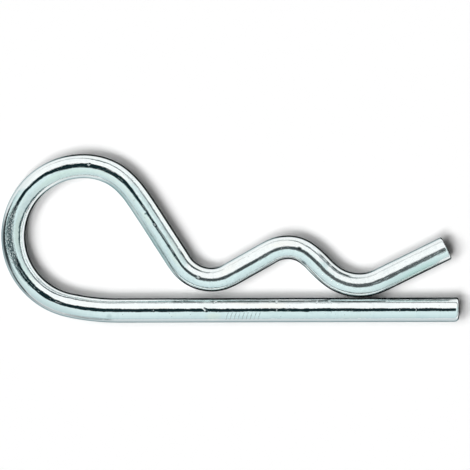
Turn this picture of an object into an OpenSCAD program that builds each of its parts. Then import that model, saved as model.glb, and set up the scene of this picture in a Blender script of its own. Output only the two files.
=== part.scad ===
// Hitch clip bent from one length of round spring wire.
// The leg goes through the cross hole of a shaft, and the waved arm snaps over the shaft's outside,
// so that one side of the shaft sits between the leg and the crest of the arm.
// The wire lies flat: its middle line is in the plane z = 0.
// The origin is on the leg's axis straight under the crest, where the shaft's axis crosses the leg.
// +X points along the leg to its free tip and +Y points to the arm.

/* [Wire] */
// Diameter of the wire
wire_d = 5; // [4:0.1:6]

// How much bending thins the wire: the share that a bend with a radius of one wire diameter takes off
bend_thinning = 0.03; // [0.02:0.005:0.06]

/* [Leg] */
// Length of the straight leg, from its tip to where the wire starts to bend
leg_l = 69.8; // [55:0.1:90]
// Radius on the corner of the leg's trimmed tip
leg_tip_round = 0.8; // [0.3:0.1:1.5]
// Radius of the slight crown on the face of the leg's tip
leg_tip_crown_r = 18; // [10:1:60]

/* [Loop] */
// Middle-line radius of the gentle bend that starts the loop
lead_r = 46; // [30:1:70]
// Angle of that gentle bend
lead_angle = 13; // [8:0.5:16]
// Middle-line radius of the round back of the loop
loop_r = 14.4; // [13.5:0.1:17]
// Middle-line radius of the loop's shoulder, where the wire turns down to the arm
shoulder_r = 12.8; // [10:0.1:13.4]

/* [Arm] */
// Steepness of the straight run from the loop down to the first trough
fall_angle = 57.3; // [50:0.1:65]
// Middle-line radius of the first trough
trough_r = 7.7; // [6:0.1:9]
// Clear gap between the first trough and the leg
trough_gap = 1.3; // [0.6:0.1:2]
// Steepness of the run from the first trough up to the crest
rise_angle = 29.3; // [25:0.1:33]
// Middle-line radius of the crest
crest_r = 7.4; // [6:0.1:8.5]
// Diameter of the shaft that the clip is made for: the crest's underside is half of it above the leg's axis
shaft_d = 20.8; // [20:0.1:26]
// Steepness of the run from the crest down to the second trough
drop_angle = 50; // [44:0.5:52]
// Middle-line radius of the second trough, which nearly closes on the leg
dip_r = 10; // [7.5:0.1:10.8]
// Clear gap between the second trough and the leg
dip_gap = 0.12; // [0.08:0.02:1]

/* [Flared tip] */
// Steepness of the flared tip that guides the clip onto the shaft
flare_angle = 26; // [18:0.5:34]
// Length of the flared tip, from the second trough to the cut end
flare_l = 15; // [10:0.1:20]
// Size of the bevel around the cut end
flare_bevel = 0.3; // [0.1:0.05:0.6]

/* [Hidden] */
$fn = 72;

wire_r = wire_d / 2;

// Which way a bend turns, seen from above along the way the wire runs
LEFT = 1;
RIGHT = -1;

// Heights of the wire's middle line above the leg's axis
loop_top_y = lead_r * (1 - cos(lead_angle)) + loop_r * (1 + cos(lead_angle));
trough_y = wire_r + trough_gap + bent_d(trough_r) / 2;
crest_y = shaft_d / 2 + bent_d(crest_r) / 2;
dip_y = wire_r + dip_gap + bent_d(dip_r) / 2;

// Straight runs of the arm
fall_l = run_length(loop_top_y - trough_y, shoulder_r + trough_r, fall_angle);
rise_l = run_length(crest_y - trough_y, trough_r + crest_r, rise_angle);
drop_l = run_length(crest_y - dip_y, crest_r + dip_r, drop_angle);

// Distance along X from the start of the loop back to the crest
loop_to_crest = (loop_r - lead_r) * sin(lead_angle)
    + run_width(fall_l, shoulder_r + trough_r, fall_angle)
    + run_width(rise_l, trough_r + crest_r, rise_angle);
leg_tip_x = leg_l - loop_to_crest;

// Diameter of the wire where it is bent to this radius: the gentler the bend, the less it is thinned
function bent_d(radius) = wire_d * (1 - bend_thinning * wire_d / radius);

// Length of a sloping run that covers the height which the bends at its two ends leave
function run_length(height, radii, angle) = (height - radii * (1 - cos(angle))) / sin(angle);

// Distance along X that a sloping run and the bends at its two ends cover
function run_width(length, radii, angle) = length * cos(angle) + radii * sin(angle);

// Straight wire along +X; the rest of the wire carries on from its end
module run(length) {
    rotate([0, 90, 0]) cylinder(h = length, d = wire_d);
    translate([length, 0, 0]) children();
}

// Bend that starts along +X: a ring of thinned wire, cut square where the bend starts and where it ends;
// the rest of the wire carries on from its end
module bend(radius, angle, side) {
    translate([0, side * radius, 0]) {
        intersection() {
            rotate_extrude() translate([radius, 0]) circle(d = bent_d(radius));
            front_half(radius + wire_d);
            rotate([0, 0, side * angle]) mirror([1, 0, 0]) front_half(radius + wire_d);
        }
        rotate([0, 0, side * angle]) translate([0, -side * radius, 0]) children();
    }
}

// Block that holds the +X half of a ring of wire
module front_half(reach) {
    translate([0, -reach, -wire_d]) cube([reach, 2 * reach, 2 * wire_d]);
}

// Trimmed tip of the leg: a rounded corner and a slightly crowned face, as deep as the corner's radius
module leg_tip() {
    face_r = wire_r - leg_tip_round;
    rotate([0, -90, 0]) intersection() {
        rotate_extrude() {
            square([face_r, leg_tip_round]);
            translate([face_r, 0]) intersection() {
                circle(r = leg_tip_round);
                square(leg_tip_round);
            }
        }
        translate([0, 0, leg_tip_round - leg_tip_crown_r]) sphere(r = leg_tip_crown_r);
    }
}

// Sheared end of the arm: a flat face with a fine bevel around it
module flare_end() {
    rotate([0, 90, 0]) cylinder(h = flare_bevel, d1 = wire_d, d2 = wire_d - 2 * flare_bevel);
}

// The arm of the clip, from the loop's top to its cut end
module arm() {
    bend(shoulder_r, fall_angle, RIGHT)
    run(fall_l)
    bend(trough_r, fall_angle + rise_angle, LEFT)
    run(rise_l)
    bend(crest_r, rise_angle + drop_angle, RIGHT)
    run(drop_l)
    bend(dip_r, drop_angle + flare_angle, LEFT)
    run(flare_l - flare_bevel)
    flare_end();
}

// The whole wire, in the order in which it is bent, from the leg's tip to the arm's end
module clip_wire() {
    color("gainsboro")
    translate([leg_tip_x - leg_tip_round, 0, 0]) rotate([0, 0, 180]) {
        leg_tip();
        run(leg_l - leg_tip_round)
        bend(lead_r, lead_angle, RIGHT)
        bend(loop_r, 180 - lead_angle, RIGHT)
        arm();
    }
}

clip_wire();
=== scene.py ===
"""A hitch clip bent from bright zinc plated spring wire, lying on a pale floor in a soft studio.

The wire is one numpy surface swept along the clip's middle line. Its finish is built from node groups
for the drawing marks, the plating's tint and the wear of handling, with painted shade and painted
reflections on its rims and flanks. All lengths are in metres.
"""

import logging
from dataclasses import dataclass, field
from enum import Enum
from typing import Iterable, Mapping, Optional, Sequence, Union

import bpy
import numpy as np
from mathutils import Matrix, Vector


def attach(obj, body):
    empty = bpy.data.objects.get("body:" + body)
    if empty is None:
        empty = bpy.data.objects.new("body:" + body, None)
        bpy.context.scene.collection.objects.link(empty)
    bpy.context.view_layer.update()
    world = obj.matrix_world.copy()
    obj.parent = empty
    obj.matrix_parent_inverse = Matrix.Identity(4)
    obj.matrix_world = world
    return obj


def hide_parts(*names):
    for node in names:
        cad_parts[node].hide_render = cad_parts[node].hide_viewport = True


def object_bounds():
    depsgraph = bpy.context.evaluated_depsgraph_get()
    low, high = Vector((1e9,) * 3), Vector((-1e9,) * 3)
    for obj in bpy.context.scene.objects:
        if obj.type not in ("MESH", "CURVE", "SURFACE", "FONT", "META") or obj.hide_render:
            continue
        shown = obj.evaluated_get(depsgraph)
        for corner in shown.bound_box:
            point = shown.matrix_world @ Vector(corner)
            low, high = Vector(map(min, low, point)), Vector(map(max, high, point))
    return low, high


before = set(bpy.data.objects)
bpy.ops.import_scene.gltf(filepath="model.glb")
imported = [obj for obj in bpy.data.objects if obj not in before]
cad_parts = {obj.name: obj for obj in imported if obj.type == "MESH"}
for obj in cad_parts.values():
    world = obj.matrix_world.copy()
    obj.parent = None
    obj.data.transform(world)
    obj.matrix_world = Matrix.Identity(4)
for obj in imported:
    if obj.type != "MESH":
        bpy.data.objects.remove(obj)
cad_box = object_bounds()

LOG = logging.getLogger("hitch_clip")
MM = 0.001

Array = np.ndarray
Node = bpy.types.Node
Socket = bpy.types.NodeSocket
Value = Union[Socket, float, Sequence[float]]
Color = tuple[float, float, float, float]
Direction = tuple[float, float, float]
Span = tuple[float, float]


def put(name: str, data: bpy.types.ID) -> bpy.types.Object:
    """Puts a new object in the scene.

    Args:
        name: its name.
        data: its mesh, lamp or camera.

    Returns:
        The object.
    """
    made = bpy.data.objects.new(name, data)
    bpy.context.scene.collection.objects.link(made)
    return made


class Turn(Enum):
    """Which way the wire goes in one step of its bending, seen from above along its run."""

    STRAIGHT = 0
    LEFT = 1
    RIGHT = -1


@dataclass(frozen=True)
class Step:
    """One step of the wire's middle line: a straight run or a round bend.

    Args:
        turn: straight, left or right.
        length: length of the middle line in this step.
        radius: middle-line radius of a bend, 0 on a straight run.
    """

    turn: Turn
    length: float
    radius: float = 0.0

    @property
    def curvature(self) -> float:
        """Heading gained for each metre of run, positive to the left."""
        return self.turn.value / self.radius if self.radius else 0.0


@dataclass(frozen=True)
class BendSheet:
    """The driving sizes of the clip, in metres and degrees, as a wire former would list them."""

    wire_d: float = 5.0 * MM
    bend_thinning: float = 0.03
    leg_l: float = 69.8 * MM
    leg_tip_round: float = 0.8 * MM
    leg_tip_crown_r: float = 18.0 * MM
    lead_r: float = 46.0 * MM
    lead_angle: float = 13.0
    loop_r: float = 14.4 * MM
    shoulder_r: float = 12.8 * MM
    fall_angle: float = 57.3
    trough_r: float = 7.7 * MM
    trough_gap: float = 1.3 * MM
    rise_angle: float = 29.3
    crest_r: float = 7.4 * MM
    shaft_d: float = 20.8 * MM
    drop_angle: float = 50.0
    dip_r: float = 10.0 * MM
    dip_gap: float = 0.12 * MM
    flare_angle: float = 26.0
    flare_l: float = 15.0 * MM

    @property
    def wire_r(self) -> float:
        """Radius of the straight wire."""
        return self.wire_d / 2

    def bent_r(self, radius: float) -> float:
        """Radius of the wire in a bend: the share taken off grows with wire diameter over bend radius."""
        return self.wire_r * (1 - self.bend_thinning * self.wire_d / radius)

    def height(self, gap: float, radius: float) -> float:
        """Height of a trough's middle line above the leg's axis, from its clear gap to the leg."""
        return self.wire_r + gap + self.bent_r(radius)

    def slope_length(self, height: float, radii: float, angle: float) -> float:
        """Length of a sloping run between two bends: (height - radii (1 - cos angle)) / sin angle."""
        a = np.radians(angle)
        return (height - radii * (1 - np.cos(a))) / np.sin(a)

    def slope_width(self, length: float, radii: float, angle: float) -> float:
        """Width that a sloping run and its two bends cover: length cos angle + radii sin angle."""
        a = np.radians(angle)
        return length * np.cos(a) + radii * np.sin(a)

    @property
    def slopes(self) -> tuple[float, float, float]:
        """Lengths of the arm's straight runs, from the heights that its bends stand at.

        Returns:
            Length of the fall, the rise and the drop.
        """
        lead = np.radians(self.lead_angle)
        loop_top = self.lead_r * (1 - np.cos(lead)) + self.loop_r * (1 + np.cos(lead))
        trough = self.height(self.trough_gap, self.trough_r)
        crest = self.shaft_d / 2 + self.bent_r(self.crest_r)
        dip = self.height(self.dip_gap, self.dip_r)
        return (
            self.slope_length(loop_top - trough, self.shoulder_r + self.trough_r, self.fall_angle),
            self.slope_length(crest - trough, self.trough_r + self.crest_r, self.rise_angle),
            self.slope_length(crest - dip, self.crest_r + self.dip_r, self.drop_angle),
        )

    @property
    def leg_tip_x(self) -> float:
        """Place of the leg's tip: the leg's length less the widths of what lies behind the crest.

        Returns:
            Its X, with the origin straight under the crest.
        """
        fall, rise, _ = self.slopes
        back = (self.loop_r - self.lead_r) * np.sin(np.radians(self.lead_angle))
        back += self.slope_width(fall, self.shoulder_r + self.trough_r, self.fall_angle)
        back += self.slope_width(rise, self.trough_r + self.crest_r, self.rise_angle)
        return self.leg_l - back

    def bend(self, turn: Turn, radius: float, angle: float) -> Step:
        """A round bend through an angle in degrees: its middle line is radius times angle long."""
        return Step(turn, radius * np.radians(angle), radius)

    def steps(self) -> list[Step]:
        """The wire as its former bends it.

        Returns:
            All steps in order, from the leg's tip to the arm's end.
        """
        fall, rise, drop = self.slopes
        return [
            Step(Turn.STRAIGHT, self.leg_l),
            self.bend(Turn.RIGHT, self.lead_r, self.lead_angle),
            self.bend(Turn.RIGHT, self.loop_r, 180 - self.lead_angle),
            self.bend(Turn.RIGHT, self.shoulder_r, self.fall_angle),
            Step(Turn.STRAIGHT, fall),
            self.bend(Turn.LEFT, self.trough_r, self.fall_angle + self.rise_angle),
            Step(Turn.STRAIGHT, rise),
            self.bend(Turn.RIGHT, self.crest_r, self.rise_angle + self.drop_angle),
            Step(Turn.STRAIGHT, drop),
            self.bend(Turn.LEFT, self.dip_r, self.drop_angle + self.flare_angle),
            Step(Turn.STRAIGHT, self.flare_l),
        ]


class MiddleLine:
    """The wire's middle line as whole arrays over the distance from the leg's tip."""

    def __init__(self, sheet: BendSheet) -> None:
        """Lays the steps end to end.

        Args:
            sheet: the clip's driving sizes.
        """
        steps = sheet.steps()
        self.start = np.concatenate([[0.0], np.cumsum([step.length for step in steps])])
        self.curvature = np.array([step.curvature for step in steps])
        self.wire_r = np.array([sheet.bent_r(s.radius) if s.radius else sheet.wire_r for s in steps])
        turned = np.concatenate([[0.0], np.cumsum(self.curvature * np.diff(self.start))])
        self.heading = np.pi + turned
        self.corner = np.zeros((len(steps) + 1, 2))
        self.corner[0] = sheet.leg_tip_x, 0.0
        for i in range(len(steps)):
            self.corner[i + 1] = self._place(np.array([i]), np.array([steps[i].length]))[0]

    @property
    def length(self) -> float:
        """Whole length of the middle line."""
        return float(self.start[-1])

    def _place(self, i: Array, run: Array) -> Array:
        """Points at a run into step i.

        A chord through a turn of t radians is run sin(t/2)/(t/2) long and points along the heading
        that the wire has half way through it, on straight runs and bends alike.

        Args:
            i: index of the step, for each point.
            run: distance into that step, for each point.

        Returns:
            x and y of each point.
        """
        half = self.curvature[i] * run / 2
        chord = run * np.sinc(half / np.pi)
        towards = self.heading[i] + half
        return self.corner[i] + np.stack([chord * np.cos(towards), chord * np.sin(towards)], axis=1)

    def at(self, s: Array) -> tuple[Array, Array]:
        """Points and headings of the middle line.

        Args:
            s: distances from the leg's tip.

        Returns:
            x and y of each point, and its heading in radians.
        """
        i = np.clip(np.searchsorted(self.start, s, side="right") - 1, 0, len(self.curvature) - 1)
        run = s - self.start[i]
        return self._place(i, run), self.heading[i] + self.curvature[i] * run

    def radius_at(self, s: Array, blend: float) -> Array:
        """Radius of the wire, which passes smoothly from one step's to the next over a length.

        Each joint between steps adds its change of radius times a smooth step of
        (distance past the joint) / blend.

        Args:
            s: distances from the leg's tip.
            blend: length over which the radius changes.

        Returns:
            The wire's radius at each distance.
        """
        radius = np.full_like(s, self.wire_r[0])
        for joint, change in zip(self.start[1:-1], np.diff(self.wire_r)):
            t = np.clip((s - joint) / blend + 0.5, 0, 1)
            radius += change * t * t * (3 - 2 * t)
        return radius


@dataclass(frozen=True)
class Sway:
    """A side step that the bending left in the middle line, in millimetres.

    Args:
        along: distance of its middle from the leg's tip.
        aside: how far it goes, towards the inside of the clip where positive.
        length: half length.
    """

    along: float
    aside: float
    length: float


@dataclass(frozen=True)
class Nick:
    """A small dent from handling, in millimetres.

    Args:
        along: distance from the leg's tip.
        aside: distance from the crown of the wire, towards the inside of the clip where positive.
        length: half length along the wire.
        width: half width round the wire.
        depth: depth in the middle.
        skew: how far the dent leans, along for each step round.
    """

    along: float
    aside: float
    length: float = 0.2
    width: float = 0.28
    depth: float = 0.035
    skew: float = 0.0


SWAYS = (Sway(133.0, 0.16, 3.2), Sway(181.6, 0.2, 2.4), Sway(186.8, -0.08, 2.0))
NICKS = (
    Nick(14.9, 1.85, 0.16, 0.35, 0.04, 0.2),
    Nick(26.4, 1.80, 0.18, 0.3, 0.04, -0.5),
    Nick(29.1, 1.78, 0.14, 0.35, 0.035, 0.3),
    Nick(37.4, 1.75, 0.14, 0.4, 0.035, -0.2),
    Nick(49.9, 1.72, 0.3, 0.3, 0.04, 1.2),
    Nick(56.6, 1.7, 0.2, 0.25, 0.03, 0.4),
    Nick(52.0, 0.15, 0.24, 0.4, 0.07, -0.8),
    Nick(31.3, -0.05, 0.35, 0.22, 0.02),
    Nick(8.9, 0.05, 0.12, 0.3, 0.014),
    Nick(12.4, -0.05, 0.1, 0.3, 0.012),
    Nick(62.6, 0.0, 0.16, 0.3, 0.014),
    Nick(71.7, -1.2, 0.3, 0.5, 0.03, 0.3),
    Nick(85.0, 0.1, 0.3, 0.25, 0.02, 0.6),
    Nick(123.3, -0.25, 0.3, 0.3, 0.05, 0.8),
    Nick(139.2, 0.48, 0.24, 0.24, 0.04, -0.3),
    Nick(142.3, 0.08, 0.3, 0.2, 0.025, 0.5),
    Nick(140.6, -0.42, 0.15, 0.15, 0.02),
    Nick(156.5, 0.0, 0.22, 0.26, 0.045, 0.7),
    Nick(181.0, 2.05, 0.5, 0.3, 0.04),
)


@dataclass
class ClipWire:
    """The whole clip: one wire with a crowned tip, its bends and a sheared end.

    The tip's corner is sharper on the arm's side of the leg, where the trimming tool left the wire.
    """

    sheet: BendSheet = field(default_factory=BendSheet)
    pitch: float = 0.42 * MM
    fine_pitch: float = 0.09 * MM
    fine_reach: float = 0.45 * MM
    sides: int = 112
    blend: float = 2.0 * MM
    skin_back: float = 0.01 * MM
    tip_unevenness: float = 0.25
    end_round: float = 0.42 * MM
    face_rings: int = 7
    corner_rings: int = 9
    density_points: int = 20000
    crease_angle: float = 35.0
    map_rows: int = 4
    map_margin: float = 0.012
    sways: Sequence[Sway] = SWAYS
    nicks: Sequence[Nick] = NICKS

    def __post_init__(self) -> None:
        """Works out the middle line and the angles round the wire."""
        self.line = MiddleLine(self.sheet)
        self.angle = 2 * np.pi * np.arange(self.sides) / self.sides

    def tip_profile(self) -> tuple[Array, Array]:
        """Profile of the leg's tip at each angle round the wire, from the pole to the full wire.

        The corner's radius c is its mean times (1 - unevenness cos(angle)). On the face the depth is
        that of a sphere, R - sqrt(R^2 - q^2) at q from the axis. Round the corner it is
        c - c cos(t) at q = face + c sin(t). The deeper of the two is the surface.

        Returns:
            Depth behind the very tip, and distance from the axis, at each ring and angle.
        """
        wire_r = self.sheet.wire_r
        c = self.sheet.leg_tip_round * (1 - self.tip_unevenness * np.cos(self.angle))[None, :]
        t = np.linspace(0, np.pi / 2, self.corner_rings + 1)[1:, None]
        share = (np.arange(1, self.face_rings + 1) / self.face_rings)[:, None]
        q = np.concatenate([(wire_r - c) * share, wire_r - c + c * np.sin(t)])
        arc = np.concatenate([np.zeros_like(c * share), c - c * np.cos(t)])
        crown = self.sheet.leg_tip_crown_r
        return np.maximum(arc, crown - np.sqrt(crown**2 - q**2)), q

    def end_profile(self) -> tuple[Array, Array]:
        """Profile of the arm's sheared end, from the full wire to the pole: a worn bevel, then a flat face.

        The worn bevel is a quarter round with radius c: c sin(t) past its start, c - c cos(t) inwards.

        Returns:
            Distance past the start of the worn bevel, and distance from the axis, of each ring.
        """
        c = self.end_round
        t = np.linspace(0, np.pi / 2, self.corner_rings + 1)[1:]
        face = (self.sheet.wire_r - c) * np.linspace(1, 0, self.face_rings + 1)[1:-1]
        return (
            np.concatenate([c * np.sin(t), np.full(len(face), c)]),
            np.concatenate([self.sheet.wire_r - c + c * np.cos(t), face]),
        )

    def stations(self, first: float, last: float) -> Array:
        """Distances of the rings on the wire's round side: closer together at the nicks.

        The rings stand at equal steps of the summed density 1/pitch + (1/fine - 1/pitch) bell, where
        bell is 1 over a nick and fades to 0 a little way off.

        Args:
            first: first distance.
            last: last distance.

        Returns:
            The distances.
        """
        s = np.linspace(first, last, self.density_points)
        near = np.zeros_like(s)
        for nick in self.nicks:
            reach = self.fine_reach + nick.length * MM
            near = np.maximum(near, np.exp(-(((s - nick.along * MM) / reach) ** 4)))
        density = 1 / self.pitch + (1 / self.fine_pitch - 1 / self.pitch) * near
        total = np.concatenate([[0.0], np.cumsum((density[1:] + density[:-1]) / 2 * np.diff(s))])
        return np.interp(np.linspace(0, total[-1], int(total[-1]) + 1), total, s)

    def rings(self) -> tuple[Array, Array, Array]:
        """All rings of the surface, from the leg's tip to the arm's end.

        Returns:
            Distance along the middle line and distance from it, at each ring and angle, and whether
            each ring is on the wire's round side.
        """
        tip_s, tip_q = self.tip_profile()
        end_s, end_q = self.end_profile()
        last = self.line.length - self.end_round
        body = self.stations(float(tip_s.max()) + self.fine_pitch, last)
        body_q = self.line.radius_at(body, self.blend)
        every = np.ones(self.sides)[None, :]
        s = np.concatenate([tip_s, body[:, None] * every, (last + end_s)[:, None] * every])
        q = np.concatenate([tip_q, body_q[:, None] * every, end_q[:, None] * every])
        side = np.zeros(len(s))
        side[len(tip_s):len(tip_s) + len(body)] = 1
        s = np.clip(s, self.skin_back, self.line.length - self.skin_back)
        return s, np.maximum(q - self.skin_back, 0), side

    def dents(self, s: Array) -> Array:
        """Depth of all nicks: depth exp(-(a/length)^2 - (w/width)^2), at a along and w round the wire.

        Args:
            s: distance along the middle line at each ring and angle.

        Returns:
            Depth at each ring and angle.
        """
        r = self.sheet.wire_r
        depth = np.zeros_like(s)
        for nick in self.nicks:
            middle = np.arccos(np.clip(nick.aside * MM / r, -1, 1))
            w = r * ((self.angle - middle + np.pi) % (2 * np.pi) - np.pi)[None, :]
            a = s - nick.along * MM - nick.skew * w
            bell = np.exp(-((a / (nick.length * MM)) ** 2) - (w / (nick.width * MM)) ** 2)
            depth += nick.depth * MM * bell
        return depth

    def sway(self, s: Array) -> Array:
        """Side step of the middle line: the sum of aside exp(-((s - along) / length)^2)."""
        steps = [w.aside * MM * np.exp(-(((s / MM - w.along) / w.length) ** 2)) for w in self.sways]
        return np.sum(steps, axis=0)

    def build(self) -> bpy.types.Object:
        """Makes the wire's mesh.

        The point at distance s along and angle t round the wire is middle(s) + sway(s) side(s) +
        (q(s, t) - dents(s, t)) (cos t side(s) + sin t up), where side(s) is square to the heading,
        towards the inside of the clip.

        Returns:
            The new object.
        """
        s, q, on_side = self.rings()
        count = len(s)
        middle, heading = self.line.at(s.ravel())
        side = np.stack([np.sin(heading), -np.cos(heading)], axis=1)
        middle += side * self.sway(s.ravel())[:, None]
        radius = q - self.dents(s) * on_side[:, None]
        across, up = radius * np.cos(self.angle), radius * np.sin(self.angle)
        flat = middle + across.reshape(-1, 1) * side
        points = np.column_stack([flat, up.ravel()])
        ends, _ = self.line.at(np.array([self.skin_back, self.line.length - self.skin_back]))
        poles = np.column_stack([ends, np.zeros(2)])
        mesh = bpy.data.meshes.new("clip_wire_bright")
        mesh.from_pydata(np.concatenate([points, poles]).tolist(), [], self.faces(count))
        places = np.column_stack([s.ravel(), across.ravel(), up.ravel()])
        pole_places = np.array([[0.0, 0.0, 0.0], [self.line.length, 0.0, 0.0]])
        self.keep(mesh, "straight_mm", np.concatenate([places, pole_places]) / MM)
        outward = np.empty(3 * len(mesh.vertices), dtype=np.float32)
        mesh.vertices.foreach_get("normal", outward)
        self.keep(mesh, "outward", outward)
        self.unwrap(mesh, s, q)
        mesh.shade_smooth()
        mesh.set_sharp_from_angle(angle=np.radians(self.crease_angle))
        return put("clip_wire_bright", mesh)

    def keep(self, mesh: bpy.types.Mesh, name: str, vectors: Array) -> None:
        """Stores a vector for each vertex as a named attribute."""
        attribute = mesh.attributes.new(name, "FLOAT_VECTOR", "POINT")
        attribute.data.foreach_set("vector", vectors.astype(np.float32).ravel())

    def grid(self, count: int) -> tuple[Array, Array]:
        """Ring and side number of the first corner of each face between a number of rings."""
        i, j = np.meshgrid(np.arange(count - 1), np.arange(self.sides), indexing="ij")
        return i.ravel(), j.ravel()

    def faces(self, count: int) -> list[list[int]]:
        """Faces between neighbouring rings, and a fan at each pole, all facing outwards.

        Args:
            count: number of rings between the poles.

        Returns:
            Vertex numbers of each face.
        """
        n = self.sides
        i, j = self.grid(count)
        k = (j + 1) % n
        quads = np.stack([i * n + j, (i + 1) * n + j, (i + 1) * n + k, i * n + k], axis=1)
        a = np.arange(n)
        b = (a + 1) % n
        last = (count - 1) * n
        tip = np.stack([np.full(n, count * n), a, b], axis=1)
        end = np.stack([np.full(n, count * n + 1), last + b, last + a], axis=1)
        return quads.tolist() + tip.tolist() + end.tolist()

    def unwrap(self, mesh: bpy.types.Mesh, s: Array, q: Array) -> None:
        """Lays the skin out as equal strips, one above the other.

        Across the map is the way along the profile from the leg's pole, cut into rows of equal
        length, and up each row is the angle round the wire.

        Args:
            mesh: the wire's mesh.
            s: distance along the middle line at each ring and angle.
            q: distance from the middle line at each ring and angle.
        """
        mean_s, mean_q = s.mean(axis=1), q.mean(axis=1)
        step = np.hypot(np.diff(mean_s, prepend=0.0), np.diff(mean_q, prepend=0.0))
        way = np.cumsum(step)
        row_length = (way[-1] + mean_q[-1]) / self.map_rows
        i, j = self.grid(len(s))
        n = np.arange(self.sides)
        fan = len(n) * 3
        last_row = self.map_rows - 1
        row = np.minimum((way[i] + way[i + 1]) / 2 // row_length, last_row)
        rows = np.concatenate([np.repeat(row, 4), np.zeros(fan), np.full(fan, last_row)])
        tip = np.tile([0.0, way[0], way[0]], len(n))
        end = np.tile([way[-1] + mean_q[-1], way[-1], way[-1]], len(n))
        wide = np.concatenate([way[np.stack([i, i + 1, i + 1, i], axis=1)].ravel(), tip, end])
        corners = ([j, j, j + 1, j + 1], [n + 0.5, n, n + 1], [n + 0.5, n + 1, n])
        high = np.concatenate([np.stack(sides, axis=1).ravel() for sides in corners])
        m = self.map_margin
        u = m + (1 - 2 * m) * np.clip((wide - rows * row_length) / row_length, -m / 2, 1 + m / 2)
        v = (rows + m + (1 - 2 * m) * high / self.sides) / self.map_rows
        layer = mesh.uv_layers.new(name="OFBake")
        layer.data.foreach_set("uv", np.stack([u, v], axis=1).astype(np.float32).ravel())


class NodeTree:
    """A short way to write a shader's nodes: each call adds a node or two and returns an output."""

    def __init__(self, tree: bpy.types.NodeTree) -> None:
        """Keeps the tree to write in."""
        self.tree = tree

    @staticmethod
    def emptied(owner: Union[bpy.types.Material, bpy.types.World]) -> bpy.types.NodeTree:
        """Switches a material's or a world's nodes on and clears them.

        Args:
            owner: the material or world.

        Returns:
            Its node tree.
        """
        owner.use_nodes = True
        owner.node_tree.nodes.clear()
        return owner.node_tree

    def add(self, kind: str, inputs: Union[Mapping, Iterable] = (), **settings: object) -> Node:
        """Adds a node.

        Args:
            kind: the node's type name.
            inputs: name or number of each input that is fed, with an output to link or a plain value.
            settings: the node's properties.

        Returns:
            The node.
        """
        node = self.tree.nodes.new(kind)
        for name, value in settings.items():
            setattr(node, name, value)
        for name, value in dict(inputs).items():
            if isinstance(value, Socket):
                self.tree.links.new(value, node.inputs[name])
            else:
                node.inputs[name].default_value = value
        return node

    def math(self, operation: str, *values: Value, clamp: bool = False) -> Socket:
        """A math node's operation on one to three values, clamped to 0 to 1 if so asked."""
        return self.add("ShaderNodeMath", enumerate(values), operation=operation, use_clamp=clamp).outputs[0]

    def times(self, a: Value, b: Value, plus: Optional[Value] = None, clamp: bool = False) -> Socket:
        """a times b, and a third value added where it is given."""
        values = (a, b) if plus is None else (a, b, plus)
        return self.math("MULTIPLY" if plus is None else "MULTIPLY_ADD", *values, clamp=clamp)

    def minus(self, a: Value, b: Value) -> Socket:
        """a minus b."""
        return self.math("SUBTRACT", a, b)

    def dot(self, a: Value, b: Value) -> Socket:
        """Dot product of two vectors."""
        return self.add("ShaderNodeVectorMath", enumerate((a, b)), operation="DOT_PRODUCT").outputs["Value"]

    def split(self, vector: Value) -> Sequence[Socket]:
        """X, Y and Z of a vector."""
        return tuple(self.add("ShaderNodeSeparateXYZ", {0: vector}).outputs)

    def ramp(self, value: Value, low: float, high: float,
             to_low: Value = 0.0, to_high: Value = 1.0) -> Socket:
        """A smooth step, which also runs down where low is above high.

        Args:
            value: what it depends on.
            low: value at which it starts.
            high: value at which it ends.
            to_low: result up to its start.
            to_high: result from its end.

        Returns:
            The result.
        """
        names = ("Value", "From Min", "From Max", "To Min", "To Max")
        inputs = zip(names, (value, low, high, to_low, to_high))
        return self.add("ShaderNodeMapRange", inputs, interpolation_type="SMOOTHSTEP").outputs["Result"]

    def mix(self, factor: Value, a: Value, b: Value, blend: str = "MIX") -> Socket:
        """A colour between a (at 0) and b (at 1), or a blended with b in another way."""
        inputs = {0: factor, 6: a, 7: b}
        return self.add("ShaderNodeMix", inputs, data_type="RGBA", blend_type=blend).outputs[2]

    def stretched(self, place: Value, by: Sequence[float], shift: Sequence[float] = (0, 0, 0)) -> Socket:
        """A place multiplied by a factor on each axis, then moved."""
        inputs = enumerate((place, by, shift))
        return self.add("ShaderNodeVectorMath", inputs, operation="MULTIPLY_ADD").outputs["Vector"]

    def noise(self, place: Value, by: Sequence[float], shift: Sequence[float] = (0, 0, 0),
              detail: float = 2.0, rough: float = 0.5) -> Socket:
        """Noise between 0 and 1.

        Args:
            place: where.
            by: how many times finer than 1 mm it is on each axis.
            shift: how far it is moved, so that it differs from the others.
            detail: how many finer layers it has.
            rough: how strong each finer layer is.

        Returns:
            The noise.
        """
        inputs = {"Vector": self.stretched(place, by, shift), "Scale": 1.0}
        inputs |= {"Detail": detail, "Roughness": rough}
        return self.add("ShaderNodeTexNoise", inputs).outputs["Fac"]

    def relief(self, *values: Value, **options: float) -> Socket:
        """Noise between -0.5 and 0.5, from the values that noise takes."""
        return self.minus(self.noise(*values, **options), 0.5)


def numbers(*names: str) -> dict[str, str]:
    """Kinds of sockets that carry numbers."""
    return dict.fromkeys(names, "NodeSocketFloat")


def colors(*names: str) -> dict[str, str]:
    """Kinds of sockets that carry colours."""
    return dict.fromkeys(names, "NodeSocketColor")


def vectors(*names: str) -> dict[str, str]:
    """Kinds of sockets that carry vectors."""
    return dict.fromkeys(names, "NodeSocketVector")


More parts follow.
